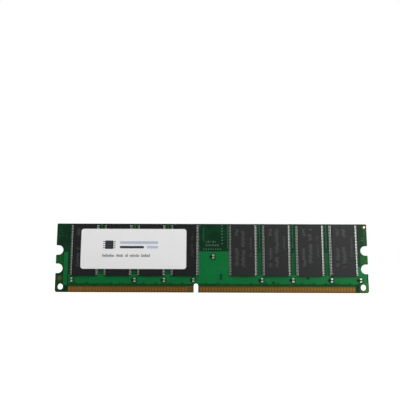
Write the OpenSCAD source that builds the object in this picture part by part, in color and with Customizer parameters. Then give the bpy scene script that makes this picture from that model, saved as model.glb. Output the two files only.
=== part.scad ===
// Memory module: a 184-contact, double-sided DIMM with sixteen TSOP packages.
// It stands upright: +X runs along the board, +Z from the contact edge to the top edge, and the
// labelled face looks towards -Y. The origin is the middle of the contact edge, on the mid-plane.

/* [Board] */
// Length of the board, end to end
board_l = 133.35; // [133:0.05:134]
// Height of the board, contact edge to top edge
board_h = 29.21; // [29.2:0.01:32]
// Thickness of the board, over the contacts of both faces
board_t = 1.27; // [1.2:0.01:1.37]
// Radius of the two lower corners
low_corner_r = 1; // [0.5:0.1:1.5]
// Radius of the two upper corners and of the notch mouths
small_corner_r = 0.4; // [0.2:0.05:0.6]
// Height of the bevel along the contact edge
bevel_h = 0.37; // [0.2:0.01:0.38]
// Depth of the bevel into each face
bevel_in = 0.18; // [0.1:0.01:0.2]

/* [Board layers] */
// Thickness of the solder mask and of the outer copper
skin_t = 0.035; // [0.02:0.005:0.05]
// Thickness of each outer laminate sheet
prepreg_t = 0.2; // [0.19:0.01:0.25]
// Thickness of each inner copper plane
plane_t = 0.035; // [0.02:0.005:0.07]
// Distance that the inner planes stay back from every edge and hole
plane_gap = 0.5; // [0.3:0.1:0.8]
// Height above the contact edge at which the inner planes begin
plane_low = 3.4; // [3:0.1:4]

/* [Notches, slot and holes] */
// Radius of the latch notches
notch_r = 2; // [1.8:0.05:2.1]
// Distance from the board end to the notch centres
notch_in = 1; // [0.5:0.1:1.2]
// Height of the lower notch centres
notch_low = 10; // [9.5:0.1:10.5]
// Height of the upper notch centres
notch_high = 17.8; // [17.3:0.1:18.3]
// Place of the keying slot along the board
key_x = -6.625; // [-7:0.025:-6.2]
// Width of the keying slot
key_w = 1.8; // [1.6:0.1:2]
// Height of the keying slot, to the top of its round end
key_h = 3.7; // [3.5:0.1:4.3]
// Diameter of the two tooling holes
hole_d = 2.5; // [2.3:0.1:2.6]
// Distance between the tooling holes
hole_spacing = 128.95; // [128.5:0.05:129.5]
// Height of the tooling holes
hole_z = 2.3; // [2:0.1:2.6]

/* [Contacts] */
// Distance between contact centres
contact_pitch = 1.27; // [1.27:0.01:1.28]
// Width of a contact
contact_w = 1; // [0.8:0.05:1.1]
// Bottom of the contacts
contact_low = 0.4; // [0.38:0.01:0.6]
// Top of the contacts
contact_high = 2.75; // [2.4:0.05:2.8]
// Contacts on the shorter side of the slot, on each face
contacts_left = 40; // [40]
// Contacts on the longer side of the slot, on each face
contacts_right = 52; // [52]
// Contact places left out at the slot
contacts_skipped = 4; // [4]

/* [Memory packages] */
// Width of the moulding, across the leads
chip_w = 10.16; // [10:0.02:10.2]
// Length of the moulding, along the lead rows
chip_l = 22.22; // [22:0.02:22.3]
// Thickness of the moulding
chip_t = 1; // [0.95:0.01:1.05]
// Gap between the board and the moulding
standoff = 0.1; // [0.05:0.01:0.15]
// Width over the lead tips
chip_span = 11.76; // [11.6:0.02:11.9]
// Leads along each side
chip_leads = 33; // [33]
// Distance between the leads
lead_pitch = 0.65; // [0.65]
// Width of a lead
lead_w = 0.3; // [0.24:0.02:0.36]
// Thickness of the lead metal
lead_t = 0.127; // [0.1:0.009:0.16]
// Length of the flat foot of a lead
foot_l = 0.5; // [0.4:0.05:0.6]
// Distance between neighbouring packages
chip_pitch = 14.3; // [14:0.1:14.4]
// Centre of the first package to the left of the gap
chip_left_x = -54.425; // [-54.5:0.025:-54.3]
// Centre of the first package to the right of the gap
chip_right_x = 13.425; // [13.2:0.025:13.6]
// Height of the package centres
chip_z = 17.95; // [17.9:0.05:18.05]
// Width, length and thickness of a memory die
die_size = [6.4, 10.8, 0.28]; // [0.2:0.02:12]
// Width and length of the plate under a die
paddle_size = [7, 11.6]; // [6:0.1:12]

/* [Small parts] */
// Width, length and height of a decoupling capacitor
cap_size = [0.8, 1.6, 0.8]; // [0.4:0.1:2]
// Length of a capacitor's end cap
cap_end = 0.35; // [0.2:0.05:0.5]
// Thickness of a capacitor's end cap
cap_skin = 0.02; // [0.01:0.01:0.05]
// Height of the lower row of capacitors
cap_row_z = 5.3; // [5.2:0.05:5.5]
// Width, height and thickness of a resistor array
array_size = [2, 1, 0.4]; // [0.3:0.1:2]
// Height of the row of resistor arrays
array_z = 4.9; // [4.6:0.1:5.3]
// Width of the EEPROM moulding, across the leads
eeprom_w = 4.4; // [4.3:0.1:4.5]
// Length of the EEPROM moulding
eeprom_l = 3; // [2.9:0.1:3.1]
// Width over the EEPROM's lead tips
eeprom_span = 6.4; // [6.2:0.1:6.6]
// Leads along each side of the EEPROM
eeprom_leads_per_side = 4; // [4]
// Place of the EEPROM along the board and up it
eeprom_at = [0.7, 22]; // [0:0.1:23]

/* [Label] */
// Length and height of the label
label_size = [45.06, 17]; // [16:0.02:46]
// Centre of the label along the board and up it
label_at = [-33.3, 18.35]; // [-34:0.05:19]
// Thickness of the label
label_t = 0.1; // [0.06:0.01:0.15]
// Radius of the label corners
label_r = 1.15; // [0.8:0.05:1.5]

/* [Hidden] */
$fn = 48;
eps = 0.01;
sides = [-1, 1];

face_y = board_t / 2;
laminate_y = face_y - skin_t;
core_y = laminate_y - prepreg_t;
hole_x = hole_spacing / 2;

contact_row = (contacts_left + contacts_skipped + contacts_right - 1) * contact_pitch;
contact_first_x = -contact_row / 2;
mask_window_w = contact_row + contact_w + 0.5;
mask_window_h = contact_high + 0.15;

frame_top = standoff + chip_t / 2;
parting_z = frame_top + 0.03;
chip_top = standoff + chip_t;
draft_in = 0.06;
inner_lead = 1.03;
shoulder = 0.16;
dimple_d = 1;
dimple_deep = 0.05;
dimple_in = [1, 1.65];
tie_w = 0.4;

eeprom_die_size = [1.6, 1.4, 0.28];
eeprom_paddle_size = [1.9, 1.7];

// Places along the board of the eight packages on each face.
chip_xs = [for (x0 = [chip_left_x, chip_right_x]) for (i = [0:3]) x0 + i * chip_pitch];
chips = [0:7];

// Small capacitors on the labelled face, then those on the rear, as [along, up].
front_caps = [
    for (x = [-59.5, -32.7, -20.2, -7.7, 21.4, 34.6, 50.9, 63.2]) [x, cap_row_z],
    [0.7, 15.2]
];
rear_caps = [
    for (x0 = [chip_left_x, chip_right_x]) for (i = [0.5:1:2.5]) [x0 + i * chip_pitch, cap_row_z],
    [-61.6, cap_row_z], [-4.2, 6.2], [6.2, cap_row_z], [63.6, cap_row_z], [4.6, 25], [-3.2, 25]
];
array_offset = 2.2;
array_xs = [for (x = chip_xs) for (s = sides) x + s * array_offset];
array_terminal_w = 0.3;
array_terminal_in = 0.22;
array_terminal_pitch = 0.5;

// Bare copper targets: along, up and diameter, one low and one high on each face.
fiducials = [[-64.725, 5.9, 1.2], [65.725, 27.9, 0.9]];
fiducial_window_d = 2.2;

front_names = [for (i = chips) str("memory_case_front_", i + 1)];
rear_names = [for (i = chips) str("memory_case_rear_", i + 1)];
front_lead_names = [for (i = chips) str("memory_leads_front_", i + 1)];
rear_lead_names = [for (i = chips) str("memory_leads_rear_", i + 1)];

// ---- Helpers ----

// Stands a flat outline up as a sheet of thickness t whose front is at y.
module sheet(y, t) {
    translate([0, y + t, 0]) rotate([90, 0, 0]) linear_extrude(t) children();
}

// Puts parts drawn with +Z out of the board onto the labelled face.
module on_front(x, z) {
    translate([x, -face_y, z]) rotate([90, 0, 0]) children();
}

// Puts parts drawn with +Z out of the board onto the rear face.
module on_rear(x, z) {
    translate([x, face_y, z]) rotate([90, 0, 180]) children();
}

// What a corner at [x, z] loses when it is rounded; sx and sz point into the board.
module corner_waste(x, z, r, sx, sz) {
    difference() {
        translate([x + sx * (r - eps) / 2, z + sz * (r - eps) / 2]) square(r + eps, center = true);
        translate([x + sx * r, z + sz * r]) circle(r);
    }
}

// ---- Board ----

module latch_notch(side, z, gap) {
    end_x = board_l / 2;
    translate([side * (end_x - notch_in), z]) circle(notch_r + gap);
    translate([side * (end_x - notch_in + notch_r), z])
        square([2 * notch_r, 2 * (notch_r + gap)], center = true);
}

module key_slot(gap) {
    w = key_w + 2 * gap;
    translate([key_x - w / 2, -1]) square([w, 1 + key_h - key_w / 2]);
    translate([key_x, key_h - key_w / 2]) circle(w / 2);
}

module tooling_holes(gap) {
    for (s = sides) translate([s * hole_x, hole_z]) circle(hole_d / 2 + gap);
}

module board_outline() {
    end_x = board_l / 2;
    difference() {
        translate([-end_x, 0]) square([board_l, board_h]);
        for (s = sides) {
            corner_waste(s * end_x, 0, low_corner_r, -s, 1);
            corner_waste(s * end_x, board_h, small_corner_r, -s, -1);
            for (z = [notch_low, notch_high]) {
                latch_notch(s, z, 0);
                corner_waste(s * end_x, z + notch_r, small_corner_r, -s, 1);
                corner_waste(s * end_x, z - notch_r, small_corner_r, -s, -1);
            }
        }
        key_slot(0);
        tooling_holes(0);
    }
}

module plane_outline() {
    end_x = board_l / 2 - plane_gap;
    difference() {
        translate([-end_x, plane_low]) square([2 * end_x, board_h - plane_gap - plane_low]);
        for (s = sides) for (z = [notch_low, notch_high]) latch_notch(s, z, plane_gap);
        key_slot(plane_gap);
        tooling_holes(plane_gap);
    }
}

module bevel_waste(side) {
    rotate([90, 0, 90]) linear_extrude(board_l + 2, center = true) polygon([
        [side * (face_y - bevel_in), 0],
        [side * (face_y - bevel_in), -1],
        [side * (face_y + 1), -1],
        [side * (face_y + 1), bevel_h * (1 + 1 / bevel_in)]
    ]);
}

module laminate_core() {
    color("darkkhaki") difference() {
        sheet(-core_y, 2 * core_y) board_outline();
        sheet(-core_y - eps, plane_t + eps) plane_outline();
        sheet(core_y - plane_t, plane_t + eps) plane_outline();
    }
}

module laminate_sheet(side) {
    color("khaki") difference() {
        sheet(side < 0 ? -laminate_y : core_y, prepreg_t) board_outline();
        bevel_waste(side);
    }
}

module copper_plane(side) {
    color("peru") sheet(side < 0 ? -core_y : core_y - plane_t, plane_t) plane_outline();
}

module mask_windows() {
    translate([-mask_window_w / 2, -1]) square([mask_window_w, 1 + mask_window_h]);
    for (f = fiducials) translate([f[0], f[1]]) circle(d = fiducial_window_d);
}

module solder_mask(side) {
    color("seagreen") difference() {
        sheet(side < 0 ? -face_y : laminate_y, skin_t) difference() {
            board_outline();
            mask_windows();
        }
        bevel_waste(side);
    }
}

module contacts(side) {
    last = contacts_left + contacts_skipped + contacts_right - 1;
    places = [for (i = [0:last]) if (i < contacts_left || i >= contacts_left + contacts_skipped) i];
    color("goldenrod") sheet(side < 0 ? -face_y : laminate_y, skin_t) for (i = places)
        translate([contact_first_x + i * contact_pitch - contact_w / 2, contact_low])
            square([contact_w, contact_high - contact_low]);
}

module fiducial_dots(side) {
    color("gold") sheet(side < 0 ? -face_y : laminate_y, skin_t)
        for (f = fiducials) translate([f[0], f[1]]) circle(d = f[2]);
}

// ---- Gull-wing packages, drawn with +Z out of the board ----

function drafted(w) = [
    [-w / 2 + draft_in, standoff], [-w / 2, parting_z], [-w / 2 + draft_in, chip_top],
    [w / 2 - draft_in, chip_top], [w / 2, parting_z], [w / 2 - draft_in, standoff]
];

// A lead leaves the moulding just under the parting line, steps down and ends in a flat foot.
function lead_profile(w, span) = [
    [w / 2 - inner_lead, frame_top],
    [w / 2 + shoulder + lead_t, frame_top],
    [span / 2 - foot_l + lead_t, lead_t],
    [span / 2, lead_t],
    [span / 2, 0],
    [span / 2 - foot_l, 0],
    [w / 2 + shoulder, frame_top - lead_t],
    [w / 2 - inner_lead, frame_top - lead_t]
];

module lead_rows(count) {
    for (turn = [0, 180]) rotate(turn) for (i = [0:count - 1])
        translate([0, (i - (count - 1) / 2) * lead_pitch, 0]) children();
}

module gull_leads(w, span, count) {
    lead_rows(count) rotate([90, 0, 0]) linear_extrude(lead_w, center = true)
        polygon(lead_profile(w, span));
}

module paddle(size, l) {
    translate([0, 0, frame_top - lead_t / 2]) {
        cube([size[0], size[1], lead_t], center = true);
        cube([tie_w, l, lead_t], center = true);
    }
}

module die(size) {
    translate([-size[0] / 2, -size[1] / 2, frame_top]) cube(size);
}

module moulding(w, l, count, paddle_plan, die_plan) {
    slot_l = inner_lead + 1;
    difference() {
        intersection() {
            rotate([90, 0, 0]) linear_extrude(l + 2, center = true) polygon(drafted(w));
            rotate([90, 0, 90]) linear_extrude(w + 2, center = true) polygon(drafted(l));
        }
        lead_rows(count) translate([w / 2 - inner_lead + slot_l / 2, 0, frame_top - lead_t / 2])
            cube([slot_l, lead_w, lead_t], center = true);
        paddle(paddle_plan, l + 1);
        die(die_plan);
        translate([w / 2 - dimple_in[0], dimple_in[1] - l / 2, chip_top - dimple_deep])
            cylinder(d = dimple_d, h = 1);
    }
}

module memory_case() {
    color("dimgray") moulding(chip_w, chip_l, chip_leads, paddle_size, die_size);
}

module memory_leads() {
    color("silver") gull_leads(chip_w, chip_span, chip_leads);
}

module memory_paddle() {
    color("tan") paddle(paddle_size, chip_l);
}

module memory_die() {
    color("slategray") die(die_size);
}

module memory_case_front(i) { on_front(chip_xs[i], chip_z) memory_case(); }
module memory_case_rear(i) { on_rear(chip_xs[i], chip_z) memory_case(); }
module memory_leads_front(i) { on_front(chip_xs[i], chip_z) memory_leads(); }
module memory_leads_rear(i) { on_rear(chip_xs[i], chip_z) memory_leads(); }
module memory_dies_front() { for (x = chip_xs) on_front(x, chip_z) memory_die(); }
module memory_dies_rear() { for (x = chip_xs) on_rear(x, chip_z) memory_die(); }
module die_paddles_front() { for (x = chip_xs) on_front(x, chip_z) memory_paddle(); }
module die_paddles_rear() { for (x = chip_xs) on_rear(x, chip_z) memory_paddle(); }

module eeprom_case() {
    color("dimgray") on_rear(eeprom_at[0], eeprom_at[1])
        moulding(eeprom_w, eeprom_l, eeprom_leads_per_side, eeprom_paddle_size, eeprom_die_size);
}

module eeprom_leads() {
    color("silver") on_rear(eeprom_at[0], eeprom_at[1])
        gull_leads(eeprom_w, eeprom_span, eeprom_leads_per_side);
}

module eeprom_die() {
    color("slategray") on_rear(eeprom_at[0], eeprom_at[1]) die(eeprom_die_size);
}

module eeprom_paddle() {
    color("tan") on_rear(eeprom_at[0], eeprom_at[1]) paddle(eeprom_paddle_size, eeprom_l);
}

// ---- Small parts, drawn with +Z out of the board ----

module cap_body() {
    translate([cap_skin - cap_size[0] / 2, cap_skin - cap_size[1] / 2, cap_skin])
        cube([for (s = cap_size) s - 2 * cap_skin]);
}

module cap_ends() {
    difference() {
        for (s = sides) translate([0, s * (cap_size[1] - cap_end) / 2, cap_size[2] / 2])
            cube([cap_size[0], cap_end, cap_size[2]], center = true);
        cap_body();
    }
}

module array_terminals() {
    for (s = sides) for (i = [-1.5:1.5])
        translate([i * array_terminal_pitch, s * (array_size[1] - array_terminal_in) / 2, 0])
            translate([-array_terminal_w / 2, -array_terminal_in / 2, 0])
                cube([array_terminal_w, array_terminal_in, array_size[2]]);
}

module array_body() {
    body_h = array_size[1] - 2 * array_terminal_in;
    translate([-array_size[0] / 2, -body_h / 2, 0]) cube([array_size[0], body_h, array_size[2]]);
}

module capacitor_bodies_front() { color("tan") for (p = front_caps) on_front(p[0], p[1]) cap_body(); }
module capacitor_ends_front() { color("silver") for (p = front_caps) on_front(p[0], p[1]) cap_ends(); }
module capacitor_bodies_rear() { color("tan") for (p = rear_caps) on_rear(p[0], p[1]) cap_body(); }
module capacitor_ends_rear() { color("silver") for (p = rear_caps) on_rear(p[0], p[1]) cap_ends(); }
module resistor_array_bodies() { color("black") for (x = array_xs) on_rear(x, array_z) array_body(); }
module resistor_array_ends() { color("silver") for (x = array_xs) on_rear(x, array_z) array_terminals(); }

// ---- Label ----

module label() {
    w = label_size[0] / 2;
    h = label_size[1] / 2;
    color("whitesmoke") translate([label_at[0], -face_y - chip_top, label_at[1]])
        rotate([90, 0, 0]) linear_extrude(label_t) difference() {
            square(label_size, center = true);
            for (sx = sides) for (sz = sides) corner_waste(sx * w, sz * h, label_r, -sx, -sz);
        }
}

// ---- Assembly ----

laminate_core();
laminate_sheet(-1);  // laminate_front
laminate_sheet(1);  // laminate_rear
copper_plane(-1);  // ground_plane
copper_plane(1);  // power_plane
solder_mask(-1);  // solder_mask_front
solder_mask(1);  // solder_mask_rear
contacts(-1);  // contacts_front
contacts(1);  // contacts_rear
fiducial_dots(-1);  // fiducials_front
fiducial_dots(1);  // fiducials_rear
for (i = chips) memory_case_front(i);
for (i = chips) memory_case_rear(i);
for (i = chips) memory_leads_front(i);
for (i = chips) memory_leads_rear(i);
memory_dies_front();
memory_dies_rear();
die_paddles_front();
die_paddles_rear();
eeprom_case();
eeprom_leads();
eeprom_die();
eeprom_paddle();
capacitor_bodies_front();
capacitor_ends_front();
capacitor_bodies_rear();
capacitor_ends_rear();
resistor_array_bodies();
resistor_array_ends();
label();
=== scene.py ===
"""Finishes, solder, tracks, markings, label and studio for a double-sided memory module.

The module stands on its contact edge: +X runs along the board, +Z from the contacts to the top edge,
and the labelled face looks towards -Y. Sizes in this file are millimetres until they reach a mesh.
"""

import math
import random

import bmesh
import bpy
from bpy.props import FloatProperty, FloatVectorProperty, IntProperty, PointerProperty
from mathutils import Matrix, Vector


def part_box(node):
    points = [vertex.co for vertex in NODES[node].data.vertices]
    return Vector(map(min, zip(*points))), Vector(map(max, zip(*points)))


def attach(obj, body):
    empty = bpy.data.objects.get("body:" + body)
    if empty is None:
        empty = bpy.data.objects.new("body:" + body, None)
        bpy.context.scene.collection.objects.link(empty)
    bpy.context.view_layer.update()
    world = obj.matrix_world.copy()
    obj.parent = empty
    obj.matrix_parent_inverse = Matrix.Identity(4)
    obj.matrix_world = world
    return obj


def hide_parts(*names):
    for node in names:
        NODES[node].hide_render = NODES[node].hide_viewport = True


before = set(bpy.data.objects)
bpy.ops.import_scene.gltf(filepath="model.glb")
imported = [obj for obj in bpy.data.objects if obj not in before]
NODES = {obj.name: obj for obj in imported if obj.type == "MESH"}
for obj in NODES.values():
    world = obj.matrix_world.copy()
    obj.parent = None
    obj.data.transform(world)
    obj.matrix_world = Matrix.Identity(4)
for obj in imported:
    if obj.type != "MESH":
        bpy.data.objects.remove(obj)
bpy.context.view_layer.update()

bl_info = {
    "name": "Memory module looks",
    "version": (1, 0, 0),
    "blender": (4, 5, 0),
    "location": "View3D > Sidebar > Module",
    "description": "Finishes, solder, tracks, markings, label and studio for a memory module",
    "category": "Object",
}

MM = 0.001
# Which way each face looks along Y.
SIDES = {"front": -1, "rear": 1}


def box_mm(node):
    """Lowest and highest corner of a CAD node, in millimetres."""
    low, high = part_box(node)
    return low / MM, high / MM


def middle(node):
    """Centre of a CAD node, in millimetres."""
    low, high = box_mm(node)
    return (low + high) / 2


# ---- What the frame says ----

BOARD_HIGH = box_mm("laminate_core")[1]
BOARD_END = BOARD_HIGH.x
BOARD_TOP = BOARD_HIGH.z
FACE_Y = box_mm("contacts_rear")[1].y

PACKAGES = range(1, 9)
CHIP_XS = [middle(f"memory_case_front_{i}").x for i in PACKAGES]
CHIP_LOW, CHIP_HIGH = box_mm("memory_case_front_1")
CHIP_HALF = (CHIP_HIGH.x - CHIP_LOW.x) / 2
CHIP_MID_Z = (CHIP_LOW.z + CHIP_HIGH.z) / 2
LEADS_LOW, LEADS_HIGH = box_mm("memory_leads_front_1")
LEAD_TIP = (LEADS_HIGH.x - LEADS_LOW.x) / 2
LEAD_PITCH = 0.65
LEADS_PER_SIDE = 33
LEAD_FOOT = 0.5

# Gaps between neighbouring packages: three under the label, the wide middle one, and three more.
GAP_XS = [(a + b) / 2 for a, b in zip(CHIP_XS, CHIP_XS[1:])]
LABELLED_GAPS = GAP_XS[:3]
NARROW_GAPS = GAP_XS[:3] + GAP_XS[4:]

# The site beside the fifth package that carries none.
SPARE_LEFT = CHIP_XS[3] + LEAD_TIP + 0.4
SPARE_RIGHT = CHIP_XS[4] - LEAD_TIP - 0.4

CONTACTS_LOW, CONTACTS_HIGH = box_mm("contacts_front")
CONTACT_PITCH = 1.27
CONTACT_WIDTH = 1.0
CONTACT_STEPS = 96
KEY_STEPS = range(40, 44)
CONTACT_XS = [
    CONTACTS_LOW.x + CONTACT_WIDTH / 2 + step * CONTACT_PITCH
    for step in range(CONTACT_STEPS)
    if step not in KEY_STEPS
]

# Two resistor arrays stand below each rear package, four resistors in each.
ARRAY_XS = [x + way * 2.2 for x in CHIP_XS for way in (-1, 1)]
ARRAY_Z = middle("resistor_array_bodies").z
ARRAY_PITCH = 0.5
ARRAY_FEET = [ARRAY_PITCH * (k - 1.5) for k in range(4)]

EEPROM = middle("eeprom_case")
EEPROM_LOW, EEPROM_HIGH = box_mm("eeprom_leads")
EEPROM_TIP = (EEPROM_HIGH.x - EEPROM_LOW.x) / 2
EEPROM_LEADS_PER_SIDE = 4
LABEL_LOW, LABEL_HIGH = box_mm("label")

# How far films stand off the board's face.
PRINT_RISE = 0.01
PAD_RISE = 0.03
CLEARANCE_RISE = 0.004
BORE_RISE = 0.006
FILLED_VIA_RISE = 0.008
STUB_RISE = 0.008

# Solder at each end of a small part: reach from its middle, pad, top and height.
CAPACITOR_JOINT = (0.86, (0.92, 0.40), (0.70, 0.14), 0.36)
ARRAY_JOINT = (0.56, (0.36, 0.42), (0.24, 0.12), 0.26)
SOLDER_SEED = 11

# Vias of the labelled face that stand alone, and where each filled one is from its capacitor.
LONE_VIAS = [(26.3, 4.2), (40.9, 6.2), (4.0, 7.2), (4.0, 6.0)]
FILLED_VIA_OFFSET = (-1.05, -0.1)

# Tracks above the contacts: where a neck ends, and each kind of via's height and sideways step.
NECK_TOP = 3.2
VIA_STEPS = ((3.2, 0.0), (3.5, 0.28), (3.85, -0.28))

# Laser marks, each a column of strokes: offset from the package's middle, half width, low, high, strength.
PACKAGE_MARKS = (
    (-2.6, 0.85, 10.8, 18.8, 0.52),
    (-2.6, 0.85, 24.0, 27.2, 0.52),
    (0.1, 0.95, 10.8, 27.2, 0.56),
    (3.3, 0.6, 15.0, 24.0, 0.35),
)
EEPROM_MARKS = (
    (-1.0, 0.3, EEPROM.z - 1, EEPROM.z + 1, 0.6),
    (0.6, 0.3, EEPROM.z - 1, EEPROM.z + 0.6, 0.6),
)
STROKE_PITCH = 0.46

# The label's print: how far the ink stands proud, its thickness, and the grid of every patch.
INK_RISE = 0.004
INK_THICK = 0.003
PATCH_CELL = 0.5

# The label's mark, a chip beside bars: left, width, low, high and corner radius of each patch,
# from the label's low left corner.
MARK_CHIP = (10.3, 3.6, 8.4, 12.0, 0.4)
PIN_PITCH = 0.86
MARK_PINS = [
    (left, 0.8, 8.75 + PIN_PITCH * k, 9.07 + PIN_PITCH * k, 0.12)
    for left in (9.4, 14.0)
    for k in range(4)
]
MARK_DARK_BAR = (16.6, 10.4, 8.7, 9.7, 0.45)
MARK_PALE_BARS = ((16.6, 16.4, 10.6, 11.7, 0.5), (28.1, 4.9, 8.7, 9.7, 0.45))

# Tints that are laid over the colours of the settings, as scene-linear red, green and blue.
PALE_RESIN = (0.12, 0.11, 0.035)
EDGE_STAIN = (0.125, 0.062, 0.011)
TONGUE_GREEN = (0.008, 0.105, 0.014)
CORNER_GREEN = (0.026, 0.160, 0.020)
GAP_LINE_GREEN = (0.025, 0.14, 0.07)
SPARE_LINE_GREEN = (0.02, 0.13, 0.06)
FINE_TRACK_GREEN = (0.006, 0.105, 0.036)
LEAD_SHADOW = (0.0005, 0.009, 0.003)
GOLD_STAIN = (0.28, 0.15, 0.05)
# Painted reflection of something red, mirrored in the gold contacts.
PAINTED_RED_REFLECTION = (0.38, 0.115, 0.028)
DULL_GOLD = (0.11, 0.11, 0.025)
GOLD_BY_MASK = (0.02, 0.045, 0.010)
BARE_TARGET = (0.80, 0.72, 0.36)
TARNISH = (0.13, 0.11, 0.07)
EPOXY_FILLER = (0.045, 0.045, 0.045)
VIA_DARK = (0.006, 0.012, 0.008)
COVERED_PAD = (0.012, 0.095, 0.04)
SPARE_TIN = (0.14, 0.21, 0.15)

# The surround turns into the ceiling from this height on, as a share of straight up.
CEILING_STARTS = 0.25
FLOOR_REACH = 4000
FLOOR_GAP = 0.02
# Softboxes of the studio: name, place and size. Each one's power is a setting.
LIGHTS = (
    ("key", (255, -320, 90), 270),
    ("fill", (-260, -260, 160), 260),
    ("back", (60, 320, 260), 260),
)

# Colour sockets of a Mix node, by their order.
MIX_UNDER, MIX_OVER, MIX_RESULT = 6, 7, 2


# ---- Settings ----


def colour(name, value, description):
    """A colour setting, as scene-linear red, green and blue."""
    return FloatVectorProperty(
        name=name, default=value, description=description, subtype="COLOR", size=3, min=0, max=1
    )


def length(name, millimetres, description):
    """A length setting, given here in millimetres and kept in metres."""
    return FloatProperty(
        name=name, default=millimetres * MM, description=description, unit="LENGTH", precision=6
    )


def power(name, watts, description):
    """A light's power setting."""
    return FloatProperty(name=name, default=watts, description=description, min=0, unit="POWER")


class BoardLooks(bpy.types.PropertyGroup):
    """Colours and sizes of the board's surface."""

    mask_bare: colour("Mask on laminate", (0.001, 0.032, 0.010), "Solder mask with no copper under it")
    mask_pour: colour("Mask on copper", (0.001, 0.172, 0.036), "Solder mask over a copper pour")
    mask_olive: colour("Mask at the ends", (0.010, 0.060, 0.009), "Solder mask over the bare board ends")
    laminate: colour("Laminate", (0.055, 0.060, 0.012), "Glass-epoxy laminate")
    ink: colour("Board ink", (0.09, 0.17, 0.11), "Screen-printed board marks")
    gold: colour("Gold", (0.41, 0.190, 0.034), "Plating of the edge contacts")
    copper_covered: colour("Covered tracks", (0.004, 0.125, 0.034), "Solder mask over a raised track")
    track_width: length("Track width", 0.16, "Width of a copper track")
    neck_width: length("Neck width", 0.44, "Width of the copper neck above each contact")
    track_rise: length("Track rise", 0.014, "How far a track lifts the solder mask")
    via_radius: length("Via radius", 0.29, "Outer radius of a via ring")
    seed: IntProperty(name="Seed", default=7, description="Seed of the board's small variations")


class PackageLooks(bpy.types.PropertyGroup):
    """Colours of the packages, the metal and the small parts."""

    epoxy: colour("Moulding", (0.0045, 0.0055, 0.005), "Moulded epoxy")
    gloss: FloatProperty(name="Gloss", default=0.35, min=0, max=1, description="Shine of the mouldings")
    dull_gloss: FloatProperty(
        name="Dull gloss", default=0.24, min=0, max=1, description="Shine of the mouldings under the label"
    )
    laser: colour("Laser marks", (0.100, 0.104, 0.104), "Where the moulding is laser marked")
    tin: colour("Tin", (0.95, 0.97, 0.93), "Tin-plated leads and end caps")
    solder: colour("Solder", (0.13, 0.14, 0.13), "Reflowed solder")
    ceramic: colour("Ceramic", (0.20, 0.17, 0.11), "Capacitor bodies")
    glass: colour("Overglaze", (0.010, 0.010, 0.012), "Resistor array bodies")
    silicon: colour("Silicon", (0.07, 0.08, 0.10), "Memory dies")
    copper_alloy: colour("Copper alloy", (0.62, 0.40, 0.24), "Die plates and inner planes")


class LabelLooks(bpy.types.PropertyGroup):
    """The paper label and its print."""

    paper: colour("Paper", (0.87, 0.87, 0.87), "Coated label stock")
    dark_ink: colour("Dark ink", (0.030, 0.034, 0.045), "Dark parts of the mark")
    pale_ink: colour("Pale ink", (0.50, 0.58, 0.73), "Pale parts of the mark")
    grey_ink: colour("Grey ink", (0.07, 0.07, 0.08), "The greeked line")
    sag: length("Sag", 0.045, "How far the label dips between two packages")
    radius: length("Corner radius", 1.15, "Radius of the label's corners")


class StudioLooks(bpy.types.PropertyGroup):
    """Camera, floor and lights."""

    camera_at: FloatVectorProperty(
        name="Camera place",
        description="Where the camera stands",
        default=(-0.00369, -0.200635, 0.01090),
        subtype="TRANSLATION",
        unit="LENGTH",
    )
    camera_aim: FloatVectorProperty(
        name="Camera aim",
        description="Point in the middle of the view",
        default=(-0.00502, -0.000635, 0.03964),
        subtype="TRANSLATION",
        unit="LENGTH",
    )
    camera_roll: FloatProperty(
        name="Camera roll",
        description="Turn of the camera about its own axis",
        default=math.radians(0.198),
        unit="ROTATION",
    )
    lens: FloatProperty(
        name="Lens", description="Focal length on a 36 mm sensor", default=41.74, unit="CAMERA"
    )
    floor: colour("Floor", (0.50, 0.50, 0.50), "Plain pale floor")
    floor_glow: FloatProperty(
        name="Floor glow", default=0.80, min=0, description="Keeps the seen floor as pale as the backdrop"
    )
    surround: FloatProperty(
        name="Surround", default=0.15, min=0, description="Light from all round the studio"
    )
    ceiling: FloatProperty(
        name="Ceiling", default=0.80, min=0, description="Light from straight above"
    )
    key_power: power("Key light", 1.08, "The softbox at the front, on the right")
    fill_power: power("Fill light", 0.32, "The softbox at the front, on the left")
    back_power: power("Back light", 1.8, "The softbox behind the module")


# ---- Materials ----


def box_mask_group():
    """Node group: 1 inside a box of the board's X and Z, 0 outside, with a soft edge."""
    name = "box_mask"
    if name in bpy.data.node_groups:
        return bpy.data.node_groups[name]
    group = bpy.data.node_groups.new(name, "ShaderNodeTree")
    group.interface.new_socket("Place", in_out="INPUT", socket_type="NodeSocketVector")
    for label in ("Left", "Right", "Low", "High", "Soft"):
        group.interface.new_socket(label, in_out="INPUT", socket_type="NodeSocketFloat")
    group.interface.new_socket("Mask", in_out="OUTPUT", socket_type="NodeSocketFloat")
    given = group.nodes.new("NodeGroupInput")
    result = group.nodes.new("NodeGroupOutput")
    split = group.nodes.new("ShaderNodeSeparateXYZ")
    group.links.new(given.outputs["Place"], split.inputs[0])

    def math_node(operation, a, b, clamp=False):
        made = group.nodes.new("ShaderNodeMath")
        made.operation = operation
        made.use_clamp = clamp
        for socket, value in zip(made.inputs, (a, b)):
            if isinstance(value, float):
                socket.default_value = value
            else:
                group.links.new(value, socket)
        return made.outputs[0]

    from_left = math_node("SUBTRACT", split.outputs["X"], given.outputs["Left"])
    from_right = math_node("SUBTRACT", given.outputs["Right"], split.outputs["X"])
    from_low = math_node("SUBTRACT", split.outputs["Z"], given.outputs["Low"])
    from_high = math_node("SUBTRACT", given.outputs["High"], split.outputs["Z"])
    across = math_node("MINIMUM", from_left, from_right)
    upward = math_node("MINIMUM", from_low, from_high)
    depth = math_node("MINIMUM", across, upward)
    softened = math_node("DIVIDE", depth, given.outputs["Soft"])
    group.links.new(math_node("ADD", softened, 0.5, clamp=True), result.inputs["Mask"])
    return group


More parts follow.
